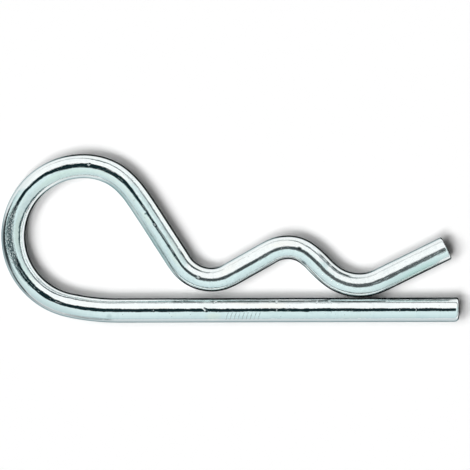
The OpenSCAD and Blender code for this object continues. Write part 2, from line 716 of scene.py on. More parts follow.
class Group(NodeTree):
    """A shader node group with named inputs and outputs."""

    def __init__(self, name: str, inputs: dict[str, str], outputs: dict[str, str]) -> None:
        """Makes the group and its sockets.

        Args:
            name: the group's name.
            inputs: the kind of each input, by name.
            outputs: the kind of each output, by name.
        """
        super().__init__(bpy.data.node_groups.new(name, "ShaderNodeTree"))
        for direction, sockets in (("INPUT", inputs), ("OUTPUT", outputs)):
            for label, kind in sockets.items():
                self.tree.interface.new_socket(label, in_out=direction, socket_type=kind)
        self.given = self.add("NodeGroupInput").outputs

    def give(self, **results: Socket) -> "Group":
        """Links the group's outputs, and returns the group."""
        self.add("NodeGroupOutput", results)
        return self

    def place_in(self, nodes: NodeTree, **values: Value) -> Mapping[str, Socket]:
        """Puts the group in a tree.

        Args:
            nodes: the tree that uses it.
            values: values for its inputs, by their names.

        Returns:
            The outputs of the group's node.
        """
        inputs = {name.capitalize(): value for name, value in values.items()}
        return nodes.add("ShaderNodeGroup", inputs, node_tree=self.tree).outputs


class SkinGroup(Group):
    """A group that works from the place on the wire's skin: along, aside and up, in millimetres.

    Along is measured from the leg's tip, and aside is positive towards the inside of the clip.
    """

    def __init__(self, name: str, inputs: dict[str, str], outputs: dict[str, str]) -> None:
        """Makes the group, with its place as one more input.

        Args:
            name: the group's name.
            inputs: the kind of each other input, by name.
            outputs: the kind of each output, by name.
        """
        super().__init__(name, vectors("Place") | inputs, outputs)
        self.place = self.given["Place"]
        self.along, self.aside, self.up = self.split(self.place)

    def summed(self, steps: Sequence[tuple[float, float, float]], total: Value) -> Socket:
        """Adds smooth steps along the wire to a value.

        Args:
            steps: where each step starts and ends, and how far it goes up.
            total: the value before them.

        Returns:
            The sum.
        """
        for start, end, change in steps:
            total = self.times(self.ramp(self.along, start, end), change, plus=total)
        return total


# Where along the wire a look comes in, or goes out if the first place is the larger, in millimetres
LEG_REFLECTION_TINT = (62.0, 48.0)
LOOP_LINES = (78.0, 90.0)
LOOP_GRAIN = (76.0, 92.0)
WHOLE_GRAIN = (90.0, 100.0)
# Painted shade on the low flanks goes out over this span
FLANK_SHADE_SPAN = (118.0, 106.0)
LEG_SHADE = (150.0, 155.0)
ARM_HAZE = ((150.0, 156.0), (180.0, 186.0))
ARM_ROUGHNESS = (128.0, 152.0)
FLARE_ROUGHNESS = (196.0, 208.0)
LOOP_LEAN = ((91.0, 105.0), (127.0, 103.0))
LEANS = ((78.0, 66.0, -0.15), (121.0, 127.0, -0.12), (160.0, 152.0, 0.12), (184.0, 196.0, -0.1))
CROWN_STEPS = (
    (80.0, 88.0, 1.0), (101.0, 107.0, -1.0), (113.0, 119.0, 1.0), (130.0, 138.0, -2.5), (151.0, 158.0, 1.5),
    (184.0, 196.0, 1.0),
)


def drawing_marks() -> Group:
    """Fine lines that the drawing die leaves along the wire, with a slow waviness under them.

    Lines, Waves and Ripples are their heights in millimetres.

    Returns:
        The group, which gives their height and a mask of the lines.
    """
    g = SkinGroup("drawing_marks", numbers("Lines", "Waves", "Ripples"), numbers("Height", "Mask"))
    fine = g.noise(g.place, (0.25, 7.0, 7.0), rough=0.6)
    broken = g.noise(g.place, (0.35, 2.0, 2.0), (7.0, 3.0, 1.0))
    lines = g.times(g.minus(fine, 0.5), g.ramp(broken, 0.35, 0.65))
    lines = g.times(lines, g.ramp(g.along, *LOOP_LINES, 1.0, 2.3))
    waves = g.relief(g.place, (0.35, 0.5, 0.5), (2.0, 5.0, 9.0), 1.0, 0.4)
    ripples = g.relief(g.place, (2.1, 1.5, 1.5), (6.0, 1.0, 4.0), 2.0, 0.55)
    height = g.times(waves, g.given["Waves"], plus=g.times(lines, g.given["Lines"]))
    height = g.times(ripples, g.given["Ripples"], plus=height)
    return g.give(Height=height, Mask=g.ramp(fine, 0.55, 0.75))


def plating_tint() -> Group:
    """The cloudy, slightly blue-green cast of a thin clear passivation over bright zinc.

    It has faint bands across the wire, a grain that is strongest round the loop, and a cooler cast on the
    leg's outer side, a painted reflection of the tent's grey-green side.

    Returns:
        The group, which gives the colour.
    """
    g = SkinGroup("plating_tint", colors("Bright", "Cool", "Warm"), colors("Color"))
    cloud = g.noise(g.place, (0.22, 0.55, 0.55), detail=3.0, rough=0.6)
    warm = g.noise(g.place, (0.09, 0.4, 0.4), (4.0, 1.0, 6.0))
    bands = g.noise(g.place, (1.1, 0.16, 0.16), (3.0, 2.0, 8.0), rough=0.6)
    grain = g.noise(g.place, (1.5, 3.4, 3.4), (1.0, 9.0, 4.0), 3.0, 0.6)
    grain = g.times(g.ramp(grain, 0.45, 0.65), g.ramp(g.along, *LOOP_GRAIN, 0.08, 0.5))
    flank = g.math("MAXIMUM", g.ramp(g.aside, 0.7, 0.1, 0.25, 1.0), g.ramp(g.along, *WHOLE_GRAIN))
    clouds = g.times(g.ramp(bands, 0.5, 0.72), 0.25, plus=g.ramp(cloud, 0.46, 0.72, 0.0, 0.6))
    clouds = g.math("ADD", clouds, g.times(grain, flank))
    # Painted reflection: the leg's outer half is cooler, like the grey-green side of the tent that it mirrors
    leg = g.times(g.ramp(g.along, *LEG_REFLECTION_TINT), g.ramp(g.aside, 0.1, -0.5))
    cool = g.mix(g.times(leg, 0.3, plus=clouds, clamp=True), g.given["Bright"], g.given["Cool"])
    return g.give(Color=g.mix(g.ramp(warm, 0.54, 0.74, 0.0, 0.7), cool, g.given["Warm"]))


def handling_wear() -> Group:
    """Small pits, specks and dull spots from tumbling against other clips.

    Returns:
        The group, which gives the masks of pits and dull spots, and the height as a share of a pit's.
    """
    g = SkinGroup("handling_wear", numbers("Amount"), numbers("Pits", "Dull", "Height"))
    cell = g.add("ShaderNodeTexVoronoi", {"Vector": g.stretched(g.place, (0.9, 1.6, 1.6)), "Scale": 1.0})
    chosen = g.math("GREATER_THAN", g.noise(g.place, (0.2, 0.5, 0.5), (3.0, 8.0, 2.0), 1.0), 0.57)
    pits = g.times(g.times(g.ramp(cell.outputs["Distance"], 0.13, 0.06), chosen), g.given["Amount"])
    patches = g.ramp(g.noise(g.place, (0.5, 1.3, 1.3), (5.0, 5.0, 5.0), 4.0, 0.65), 0.54, 0.7)
    return g.give(Pits=pits, Dull=g.times(patches, g.given["Amount"]), Height=g.times(pits, -1.0))


def spot() -> Group:
    """A soft oval on the upper side of the skin: 1 within a third of its half sizes, and 0 from 1.3 of them.

    Returns:
        The group, which gives the oval's mask.
    """
    g = SkinGroup("spot", numbers("Along", "Aside", "Length", "Width"), numbers("Mask"))
    a = g.math("DIVIDE", g.minus(g.along, g.given["Along"]), g.given["Length"])
    w = g.math("DIVIDE", g.minus(g.aside, g.given["Aside"]), g.given["Width"])
    far = g.math("SQRT", g.math("ADD", g.times(a, a), g.times(w, w)))
    return g.give(Mask=g.times(g.ramp(far, 1.3, 0.33), g.ramp(g.up, -0.3, 0.1)))


def crown_lean() -> Group:
    """The lean and the flat that bending leaves on the wire's crown.

    In the tightest part of the loop the height falls by Drop millimetres from the outer to the inner
    flank, by a smooth step, and elsewhere by the summed shares of LEANS. Where the summed CROWN_STEPS
    are 1 the crown is flatter, and lies Flat millimetres lower than the skin at its sides. Where they
    are below 0 it is sharper.

    Returns:
        The group, which gives the height.
    """
    g = SkinGroup("crown_lean", numbers("Drop", "Flat"), numbers("Height"))
    comes, goes = (g.ramp(g.along, *span) for span in LOOP_LEAN)
    leaning = g.summed(LEANS, g.times(comes, goes))
    fall = g.ramp(g.aside, -2.3, 1.7, 1.0, 0.0)
    middle = g.times(leaning, 0.75, plus=g.aside)
    sides = g.ramp(g.math("ABSOLUTE", middle), 0.0, 1.3)
    flat = g.times(g.times(g.summed(CROWN_STEPS, 0.0), sides), g.given["Flat"])
    return g.give(Height=g.times(g.times(leaning, fall), g.given["Drop"], plus=flat))


def die_groove_and_painted_line() -> Group:
    """A fine line along one side of the wire: where it is a groove, one that a chipped die drew; where it is
    coloured, a painted reflection of dark surroundings.

    It runs from Start to End at Aside, all in millimetres, wavers a little and comes and goes.

    Returns:
        The group, which gives the masks of the line and of the narrow groove in its middle.
    """
    g = SkinGroup("die_groove_and_painted_line", numbers("Start", "End", "Aside", "Width"), numbers("Mask", "Groove"))
    middle = g.times(g.relief(g.place, (0.12, 0.0, 0.0), (0.0, 4.0, 0.0)), 0.3, plus=g.given["Aside"])
    off = g.math("DIVIDE", g.math("ABSOLUTE", g.minus(g.aside, middle)), g.given["Width"])
    faint = g.noise(g.place, (0.55, 0.6, 0.6), (2.0, 7.0, 0.0), 3.0, 0.6)
    since, until = g.minus(g.along, g.given["Start"]), g.minus(g.given["End"], g.along)
    run = g.times(g.ramp(since, -0.6, 0.9), g.ramp(until, -0.6, 0.9))
    shown = g.times(run, g.ramp(g.up, -0.2, 0.1))
    line = g.times(g.times(shown, g.ramp(faint, 0.3, 0.5, 0.35, 1.0)), g.ramp(off, 1.25, 0.45))
    groove = g.times(g.times(shown, g.ramp(faint, 0.44, 0.52)), g.ramp(off, 1.0, 0.0))
    return g.give(Mask=line, Groove=groove)


def cut_ends() -> Group:
    """The trimmed tip of the leg and the sheared end of the arm: duller than the wire, and darker, partly the
    cut skin's own grey and partly painted shade that outlines both ends.

    Tip and End are the places along the wire, in millimetres, where the cut skin begins.

    Returns:
        The group, which gives the mask of the cut skin and its tear lines as a height between -0.5 and 0.5.
    """
    g = SkinGroup("cut_ends", numbers("Tip", "End"), numbers("Mask", "Height"))
    along = g.times(g.relief(g.place, (0.0, 1.6, 1.6), detail=3.0, rough=0.6), 0.12, plus=g.along)
    tip = g.ramp(g.minus(along, g.given["Tip"]), 0.1, -0.06)
    end = g.ramp(g.minus(along, g.given["End"]), -0.06, 0.1)
    mask = g.math("ADD", tip, end, clamp=True)
    sheared = g.relief(g.place, (1.0, 5.5, 0.7), (8.0, 0.0, 3.0), 4.0, 0.65)
    return g.give(Mask=mask, Height=g.times(sheared, mask))


@dataclass(frozen=True)
class FeedTicks:
    """A short row of slanted ticks that a feed roller pressed into the leg, in millimetres.

    Args:
        along: place of the row's middle.
        aside: how far aside of the leg's crown it is.
        half_row: half its length.
        half_tick: half the length of a tick.
        pitch: distance between ticks.
        lean: how far a tick leans, along for each step aside.
        fade: share of the depth that is left where it is worn.
    """

    along: float = 44.2
    aside: float = -1.12
    half_row: float = 3.9
    half_tick: float = 0.78
    pitch: float = 0.82
    lean: float = 0.35
    fade: float = 0.3

    def group(self) -> Group:
        """Writes the ticks as a node group. Depth is a tick's depth in millimetres.

        Returns:
            The group, which gives their height and mask.
        """
        g = SkinGroup("feed_ticks", numbers("Depth"), numbers("Height", "Mask"))
        turns = g.math("DIVIDE", g.times(g.aside, self.lean, plus=g.along), self.pitch)
        phase = g.math("ABSOLUTE", g.minus(g.math("FRACT", turns), 0.5))
        row = g.ramp(g.math("ABSOLUTE", g.minus(g.along, self.along)), self.half_row, self.half_row - 0.3)
        off = g.math("ABSOLUTE", g.minus(g.aside, self.aside))
        inside = g.times(row, g.ramp(g.up, 0.0, 0.2))
        inside = g.times(inside, g.ramp(off, self.half_tick, self.half_tick - 0.16))
        worn = g.noise(g.place, (0.7, 0.9, 0.9), (1.0, 1.0, 5.0), rough=0.6)
        tick = g.times(g.ramp(phase, 0.14, 0.05), inside)
        tick = g.times(tick, g.ramp(worn, 0.32, 0.6, self.fade, 1.0))
        return g.give(Mask=tick, Height=g.times(tick, g.times(g.given["Depth"], -1.0)))


@dataclass(frozen=True)
class Oval:
    """A soft oval on the skin, in millimetres: its place along and aside, and its half length and width."""

    along: float
    aside: float
    length: float
    width: float


@dataclass(frozen=True)
class Tint(Oval):
    """A local change of the colour, with its own colour and strength: mostly the plating's own tone; the ones
    marked in TINTS are painted reflection and shade.
    """

    color: Color
    strength: float = 1.0


STRAW = (0.95, 0.95, 0.86, 1)
LEAF = (0.87, 0.94, 0.84, 1)
TEAL = (0.40, 0.54, 0.55, 1)
SMOKE = (0.42, 0.50, 0.52, 1)
SLATE = (0.13, 0.19, 0.2, 1)
# Near black: a dark dot on the arm, and painted shade on the loop's outer flank
BLACK_MARK_AND_SHADE = (0.05, 0.07, 0.075, 1)
TINTS = (
    Tint(50.4, -1.2, 1.8, 0.8, STRAW, 0.6),
    Tint(91.0, 0.8, 4.0, 0.5, STRAW, 0.3),
    Tint(100.5, 0.9, 4.5, 0.8, LEAF, 0.5),
    Tint(118.0, 1.1, 8.0, 0.9, LEAF, 0.5),
    Tint(140.5, 0.8, 2.0, 0.6, STRAW, 0.4),
    Tint(150.0, 0.6, 2.2, 0.5, STRAW, 0.3),
    # Painted reflection: darker grey-green bands low on the arm's inner flank, for a shaded side mirrored
    # there
    Tint(145.5, 2.12, 9.0, 0.55, TEAL, 0.9),
    Tint(132.5, 2.25, 7.5, 0.55, TEAL, 0.95),
    Tint(120.5, 2.2, 5.5, 0.42, TEAL, 0.4),
    Tint(83.0, -1.2, 7.0, 0.9, (0.81, 0.865, 0.87, 1), 0.8),
    # Painted reflection: paler grey-green patches on the flare's inner flank
    Tint(204.0, 1.1, 8.0, 0.9, (0.75, 0.85, 0.84, 1), 0.85),
    Tint(206.0, 1.6, 5.0, 0.7, (0.68, 0.88, 0.82, 1), 0.6),
    Tint(71.6, -1.2, 0.6, 0.6, SMOKE, 0.3),
    Tint(74.5, -1.75, 2.6, 0.18, SMOKE, 0.5),
    Tint(181.3, 1.88, 1.0, 0.3, (0.26, 0.34, 0.37, 1), 0.85),
    Tint(178.8, -0.24, 0.5, 0.3, BLACK_MARK_AND_SHADE, 1.0),
    Tint(31.2, -0.05, 0.7, 0.2, SMOKE, 0.5),
    # Painted shade: a dark band low on the loop's outer flank
    Tint(98.5, -1.90, 6.5, 0.27, BLACK_MARK_AND_SHADE, 0.97),
    Tint(100.0, -0.75, 5.6, 0.65, SLATE, 0.9),
    Tint(94.5, -0.2, 5.5, 0.28, (0.30, 0.37, 0.38, 1), 0.6),
    Tint(94.5, -0.66, 3.8, 0.2, SLATE, 0.85),
    Tint(97.0, -0.2, 3.0, 0.2, SLATE, 0.7),
    # Painted shade: a greyer outer flank at the loop's upper left, continuing the flank shade
    Tint(108.5, -1.75, 5.0, 0.65, (0.78, 0.85, 0.85, 1), 0.8),
)
# Spots where a knock left the bare skin matt and bright
SCUFFS = (
    Oval(14.9, 1.86, 0.22, 0.34),
    Oval(26.6, 1.82, 0.40, 0.30),
    Oval(29.1, 1.80, 0.22, 0.30),
    Oval(37.4, 1.80, 0.30, 0.30),
    Oval(49.9, 1.84, 0.45, 0.22),
    Oval(8.9, 0.05, 0.14, 0.30),
    Oval(12.3, 0.0, 0.10, 0.25),
    Oval(37.4, 0.05, 0.16, 0.30),
    Oval(52.1, 0.12, 0.22, 0.40),
    Oval(62.6, 0.05, 0.12, 0.25),
    Oval(123.3, -0.3, 0.22, 0.3),
    Oval(142.3, 0.12, 0.4, 0.22),
    Oval(156.5, 0.0, 0.36, 0.3),
)


@dataclass(frozen=True)
class DieGrooveAndPaintedLine:
    """One line: where it starts and ends along the wire, how far aside it is, and its half width.

    These are in millimetres, and so is the depth of its groove. Its strength is how dark its painted
    reflection is.
    """

    start: float
    end: float
    aside: float
    width: float
    strength: float = 0.0
    depth: float = 0.0


# Lines with a strength are painted reflections, dark lines on the flanks; lines with a depth are grooves
DIE_GROOVES_AND_PAINTED_LINES = (
    DieGrooveAndPaintedLine(1.5, 14.6, 2.0, 0.13, 0.75),
    DieGrooveAndPaintedLine(14.6, 51.0, 1.80, 0.14, 0.95),
    DieGrooveAndPaintedLine(52.5, 59.0, 1.76, 0.15, 0.85),
    DieGrooveAndPaintedLine(59.0, 90.0, 1.70, 0.12, 0.35),
    DieGrooveAndPaintedLine(71.0, 93.0, -1.92, 0.2, 0.5),
    DieGrooveAndPaintedLine(88.0, 99.0, -1.86, 0.17, 0.9),
    DieGrooveAndPaintedLine(149.5, 156.5, -1.41, 0.15, 0.9),
    DieGrooveAndPaintedLine(182.5, 191.5, -1.56, 0.19, 0.95),
    DieGrooveAndPaintedLine(81.0, 93.0, -0.02, 0.1, 0.0, 0.011),
    DieGrooveAndPaintedLine(89.0, 99.0, -0.22, 0.1, 0.0, 0.011),
    DieGrooveAndPaintedLine(125.0, 134.0, 0.1, 0.1, 0.0, 0.008),
    DieGrooveAndPaintedLine(137.0, 151.0, -0.08, 0.1, 0.0, 0.01),
    DieGrooveAndPaintedLine(166.0, 177.0, 0.05, 0.1, 0.0, 0.008),
    DieGrooveAndPaintedLine(196.0, 212.0, 0.12, 0.14, 0.0, 0.012),
)


@dataclass(frozen=True)
class ZincFinish:
    """Bright zinc on drawn spring wire. Its heights, depths and places are in millimetres.

    The rims are painted shade where the skin is seen edge on, standing in for the dark floor and shadow that
    the wire mirrors there: darkest on the side that the wire's own shadow lies on, lighter on the other. A
    rim comes in from its start over its width, both as Facing values of the Layer Weight node, and the lee
    values are added on the dark side.
    """

    name: str = "bright_zinc"
    bright: Color = (0.948, 0.995, 0.995, 1)
    # Also the colour of the painted reflection on the leg's outer half
    cool: Color = (0.84, 0.905, 0.91, 1)
    warm: Color = (0.95, 0.96, 0.92, 1)
    speck: Color = (0.42, 0.47, 0.47, 1)
    # Colour of the painted reflections drawn as dark lines on the flanks
    painted_line_shade: Color = (0.012, 0.03, 0.033, 1)
    scuffed: Color = (0.97, 0.98, 0.98, 1)
    crumb: Color = (0.88, 0.95, 0.95, 1)
    # Partly the cut skin's grey, partly painted shade: dark enough to outline both ends like their mirrored
    # shadow
    cut: Color = (0.075, 0.088, 0.092, 1)
    # Painted shade: a grey for the low flanks facing -X and -Y, for the dimmer floor that they mirror
    painted_flank_shade: Color = (0.62, 0.69, 0.705, 1)
    # Painted shade for the rims seen edge on: grey on the lit side, near black on the side of the wire's
    # shadow
    lit_rim_shade: Color = (0.74, 0.83, 0.845, 1)
    shadow_rim_shade: Color = (0.005, 0.021, 0.024, 1)
    grazing: Color = (0.12, 0.22, 0.235, 1)
    # Direction that the flanks with painted shade face
    flank_shade_side: Direction = (-0.6, -0.8, 0.0)
    lee_side: Direction = (0.87, 0.50, 0.0)
    leg_side: Direction = (0.0, -1.0, 0.0)
    rim_start: float = 0.56
    rim_width: float = 0.2
    lee_start: float = -0.12
    lee_width: float = -0.07
    leg_roughness: float = 0.045
    arm_roughness: float = 0.12
    flare_roughness: float = 0.035
    dull_roughness: float = 0.14
    line_roughness: float = 0.03
    pin_roughness: float = 0.05
    cut_roughness: float = 0.33
    scuff_roughness: float = 0.34
    line_height: float = 0.0055
    wave_height: float = 0.06
    ripple_height: float = 0.016
    pit_height: float = 0.008
    cut_height: float = 0.05
    pin_mark_height: float = 0.11
    tick_depth: float = 0.03
    lean_drop: float = 0.66
    crown_flat: float = 0.042
    haze: float = 0.036
    crumb_haze: float = 0.55
    crumb_strength: float = 0.72
    tick_strength: float = 0.6
    wear: float = 0.7
    cut_tip: float = 0.27
    cut_end: float = 213.06
    pin_mark: Oval = Oval(99.2, -0.66, 6.8, 0.95)
    ticks: FeedTicks = FeedTicks()
    tints: Sequence[Tint] = TINTS
    scuffs: Sequence[Oval] = SCUFFS
    die_grooves_and_painted_lines: Sequence[DieGrooveAndPaintedLine] = DIE_GROOVES_AND_PAINTED_LINES


class ZincShader(NodeTree):
    """Writes the zinc finish as the wire's material."""

    def __init__(self, finish: ZincFinish) -> None:
        """Starts the material with the marks that more than one of its values depends on.

        Args:
            finish: its colours, strengths and sizes.
        """
        self.material = bpy.data.materials.new(finish.name)
        super().__init__(self.emptied(self.material))
        self.finish = f = finish
        self.place = self.add("ShaderNodeAttribute", attribute_name="straight_mm").outputs["Vector"]
        self.outward = self.add("ShaderNodeAttribute", attribute_name="outward").outputs["Vector"]
        self.along = self.split(self.place)[0]
        heights = {"lines": f.line_height, "waves": f.wave_height, "ripples": f.ripple_height}
        self.marks = self.use(drawing_marks(), **heights)
        self.wear = self.use(handling_wear(), amount=f.wear)
        self.ticks = self.use(f.ticks.group(), depth=f.tick_depth)
        self.cut = self.use(cut_ends(), tip=f.cut_tip, end=f.cut_end)
        line = die_groove_and_painted_line()
        self.lines = [
            self.use(line, start=d.start, end=d.end, aside=d.aside, width=d.width) for d in f.die_grooves_and_painted_lines
        ]
        self.oval = spot()
        self.pin = self.spot(f.pin_mark)
        crumbs = self.noise(self.place, (2.6, 4.2, 4.2), (5.0, 0.0, 2.0), 3.0, 0.6)
        self.crumbs = self.times(self.ramp(crumbs, 0.53, 0.6), self.pin)
        self.scuffs = 0.0
        for scuff in f.scuffs:
            self.scuffs = self.math("MAXIMUM", self.scuffs, self.spot(scuff))

    def use(self, group: Group, **values: Value) -> Mapping[str, Socket]:
        """Outputs of a group that works at the place on the skin, with its other inputs."""
        return group.place_in(self, place=self.place, **values)

    def spot(self, o: Oval) -> Socket:
        """Mask of a soft oval."""
        return self.use(self.oval, along=o.along, aside=o.aside, length=o.length, width=o.width)["Mask"]

    def write(self) -> bpy.types.Material:
        """Joins the colour, metal, roughness and relief in one shader.

        Returns:
            The material.
        """
        bump = self.add("ShaderNodeBump", {"Distance": MM, "Height": self.height()})
        shader = self.add("ShaderNodeBsdfPrincipled", {
            "Specular Tint": self.finish.grazing,
            "Base Color": self.rim(self.worn(self.plated())),
            "Metallic": self.metal(),
            "Roughness": self.roughness(),
            "Normal": bump.outputs["Normal"],
        })
        self.add("ShaderNodeOutputMaterial", {"Surface": shader.outputs["BSDF"]})
        return self.material

    def plated(self) -> Socket:
        """The colour: the plating's cloudy tint, painted shade on the low flanks, painted dark lines and
        local tints.

        Returns:
            The colour.
        """
        f = self.finish
        color = self.use(plating_tint(), bright=f.bright, cool=f.cool, warm=f.warm)["Color"]
        # Painted shade: the low flanks facing -X and -Y are greyed, for the dimmer floor that they mirror
        side = self.ramp(self.dot(self.outward, f.flank_shade_side), 0.2, 0.5)
        flank_shade = self.times(self.ramp(self.split(self.outward)[2], 0.8, 0.66), side)
        color = self.mix(self.times(flank_shade, self.ramp(self.along, *FLANK_SHADE_SPAN)), color, f.painted_flank_shade)
        for d, line in zip(f.die_grooves_and_painted_lines, self.lines):
            # Painted reflection: dark lines on the flanks
            if d.strength:
                color = self.mix(self.times(line["Mask"], d.strength), color, f.painted_line_shade)
        # Local tints: the plating's tone, and painted reflection and shade where TINTS marks it
        for tint in f.tints:
            color = self.mix(self.times(self.spot(tint), tint.strength), color, tint.color)
        return color

    def worn(self, color: Socket) -> Socket:
        """Lays the pin's crumbs, scuffs, specks, ticks and cut skin over a colour.

        Args:
            color: the plating's colour.

        Returns:
            The colour.
        """
        f = self.finish
        color = self.mix(self.times(self.crumbs, f.crumb_strength), color, f.crumb)
        color = self.mix(self.scuffs, color, f.scuffed)
        color = self.mix(self.wear["Pits"], color, f.speck)
        color = self.mix(self.times(self.ticks["Mask"], f.tick_strength), color, f.speck)
        # The cut skin's colour, partly painted shade that outlines the ends
        return self.mix(self.cut["Mask"], color, f.cut)

    def rim(self, color: Socket) -> Socket:
        """Paints shade on a colour where the skin is seen edge on, for the dark floor and shadow mirrored
        there, most where the wire's shadow or leg is near.

        Args:
            color: the colour seen straight on.

        Returns:
            The colour.
        """
        f = self.finish
        facing = self.add("ShaderNodeLayerWeight").outputs["Facing"]
        low = self.ramp(self.dot(self.outward, f.leg_side), 0.45, 0.85)
        low = self.times(low, self.ramp(self.along, *LEG_SHADE))
        lee = self.ramp(self.dot(self.outward, f.lee_side), -0.2, 0.42)
        lee = self.math("MAXIMUM", lee, low)
        past = self.minus(facing, self.times(lee, f.lee_start, plus=f.rim_start))
        seen = self.math("DIVIDE", past, self.times(lee, f.lee_width, plus=f.rim_width))
        # Painted shade: the rims are darkened for the floor and shadow that they mirror
        rim = self.mix(lee, f.lit_rim_shade, f.shadow_rim_shade)
        return self.mix(self.ramp(seen, 0.0, 1.0), color, rim, "MULTIPLY")

    def metal(self) -> Socket:
        """How metallic the skin is: a thin haze lies on the arm, and the pin's crumbs are dull.

        Returns:
            The share.
        """
        trough, crest = (self.ramp(self.along, *span) for span in ARM_HAZE)
        bare = self.times(self.math("ADD", trough, crest), -self.finish.haze, plus=1.0)
        return self.times(self.crumbs, -self.finish.crumb_haze, plus=bare)

    def roughness(self) -> Socket:
        """Roughness: lowest on the leg, higher on the arm, in dull patches, lines, marks and cuts.

        Returns:
            The roughness.
        """
        f = self.finish
        rough = self.ramp(self.along, *ARM_ROUGHNESS, f.leg_roughness, f.arm_roughness)
        rough = self.math("ADD", rough, self.ramp(self.along, *FLARE_ROUGHNESS, 0.0, f.flare_roughness))
        dull = self.ramp(self.wear["Dull"], 0.0, 1.0, 0.0, f.dull_roughness - f.leg_roughness)
        rough = self.math("ADD", rough, dull)
        rough = self.times(self.marks["Mask"], f.line_roughness, plus=rough)
        rough = self.times(self.pin, f.pin_roughness, plus=rough)
        rough = self.ramp(self.scuffs, 0.0, 1.0, rough, f.scuff_roughness)
        return self.ramp(self.cut["Mask"], 0.0, 1.0, rough, f.cut_roughness)

    def height(self) -> Socket:
        """Height of the fine relief: lines, pits, pin's mark, lean, grooves, ticks and cuts.

        Returns:
            The height in millimetres.
        """
        f = self.finish
        height = self.times(self.wear["Height"], f.pit_height, plus=self.marks["Height"])
        crush = self.times(self.relief(self.place, (2.2, 3.5, 3.5), detail=3.0, rough=0.6), self.pin)
        height = self.times(crush, f.pin_mark_height, plus=height)
        lean = self.use(crown_lean(), drop=f.lean_drop, flat=f.crown_flat)["Height"]
        height = self.math("ADD", height, lean)
        for d, line in zip(f.die_grooves_and_painted_lines, self.lines):
            if d.depth:
                height = self.times(line["Groove"], -d.depth, plus=height)
        height = self.math("ADD", height, self.ticks["Height"])
        return self.times(self.cut["Height"], f.cut_height, plus=height)


@dataclass(frozen=True)
class LightTent:
    """The soft surroundings that the bright wire mirrors: directions, angles in degrees and colours.

    It is white towards +Y and pale grey-green elsewhere. A dark opening for the lens is overhead, a
    seam runs low round the right side, and a dark stand is low on the left.
    """

    white: Color = (1.0, 1.0, 1.0, 1)
    pale: Color = (0.73, 0.865, 0.87, 1)
    pale_low: Color = (0.60, 0.73, 0.745, 1)
    right: Color = (0.61, 0.71, 0.715, 1)
    wall: Color = (0.93, 0.96, 0.96, 1)
    seam: Color = (0.035, 0.072, 0.083, 1)
    shade: Color = (0.11, 0.185, 0.2, 1)
    dark: Color = (0.008, 0.021, 0.025, 1)
    lens_towards: Direction = (-0.045, 0.012, 0.999)
    lens_half_angle: float = 15.6
    lens_edge: float = 3.0
    seam_pole: Direction = (-0.380, -0.250, 0.891)
    seam_height: float = -0.02
    white_slant: float = -0.62


class TentGroup(Group):
    """Writes the tent's colour in each direction as a node group."""

    def __init__(self, tent: LightTent) -> None:
        """Makes the group: the walls, then the seam, the stand and the lens opening over them.

        Args:
            tent: its colours, directions and angles.
        """
        super().__init__("tent_inside", vectors("Direction"), colors("Color"))
        self.tent = tent
        towards = self.add("ShaderNodeVectorMath", {0: self.given["Direction"]}, operation="NORMALIZE")
        self.towards = towards.outputs["Vector"]
        self.x, self.y, self.z = self.split(self.towards)
        self.give(Color=self.lens(self.stand(self.seam(self.walls()))))

    def walls(self) -> Socket:
        """The walls: paler upwards, white towards +Y, and greyer on the right.

        Returns:
            The colour.
        """
        t = self.tent
        pale = self.mix(self.ramp(self.z, 0.15, 0.9), t.pale_low, t.pale)
        sector = self.times(self.math("ABSOLUTE", self.x), t.white_slant, plus=self.y)
        color = self.mix(self.ramp(sector, 0.0, 0.22), pale, t.white)
        right = self.times(self.ramp(self.x, 0.28, 0.8), self.ramp(self.minus(self.y, self.x), 0.15, -0.15))
        return self.mix(right, color, t.right)

    def seam(self, color: Socket) -> Socket:
        """Adds the seam, which is strong on the right and weak on the left, and the wall below it.

        Args:
            color: the tent's colour so far.

        Returns:
            The colour with them.
        """
        t = self.tent
        above = self.dot(self.towards, t.seam_pole)
        color = self.mix(self.ramp(above, t.seam_height + 0.01, t.seam_height - 0.03), color, t.wall)
        off = self.math("ABSOLUTE", self.minus(above, t.seam_height))
        seen = self.math("MAXIMUM", self.ramp(self.x, -0.3, 0.25), self.ramp(self.x, -0.75, -0.4, 0.0, 0.4))
        return self.mix(self.times(seen, self.ramp(off, 0.115, 0.065)), color, t.seam)

    def stand(self, color: Socket) -> Socket:
        """Adds the dark things on the left: a stand that narrows upwards, and its darker foot.

        Args:
            color: the tent's colour so far.

        Returns:
            The colour with them.
        """
        t = self.tent
        half = self.ramp(self.z, 0.0, 1.0, 0.30, 0.17)
        aside = self.math("ABSOLUTE", self.math("DIVIDE", self.math("ADD", self.y, 0.02), half))
        within = self.times(self.ramp(self.x, -0.02, -0.14), self.ramp(aside, 1.15, 0.85))
        color = self.mix(self.times(within, self.ramp(self.z, 0.52, 0.62)), color, t.shade)
        foot = self.times(self.ramp(self.x, -0.35, -0.65), self.ramp(self.z, 0.46, 0.36))
        foot = self.times(foot, self.ramp(self.math("ABSOLUTE", self.y), 0.55, 0.3))
        return self.mix(foot, color, t.dark)

    def lens(self, color: Socket) -> Socket:
        """Adds the dark opening for the lens: a round patch within its half angle, with a soft edge.

        Args:
            color: the tent's colour so far.

        Returns:
            The colour with it.
        """
        t = self.tent
        soft = t.lens_edge / 2
        inner, outer = np.cos(np.radians([t.lens_half_angle - soft, t.lens_half_angle + soft]))
        opening = self.ramp(self.dot(self.towards, t.lens_towards), float(outer), float(inner))
        return self.mix(opening, color, t.dark)


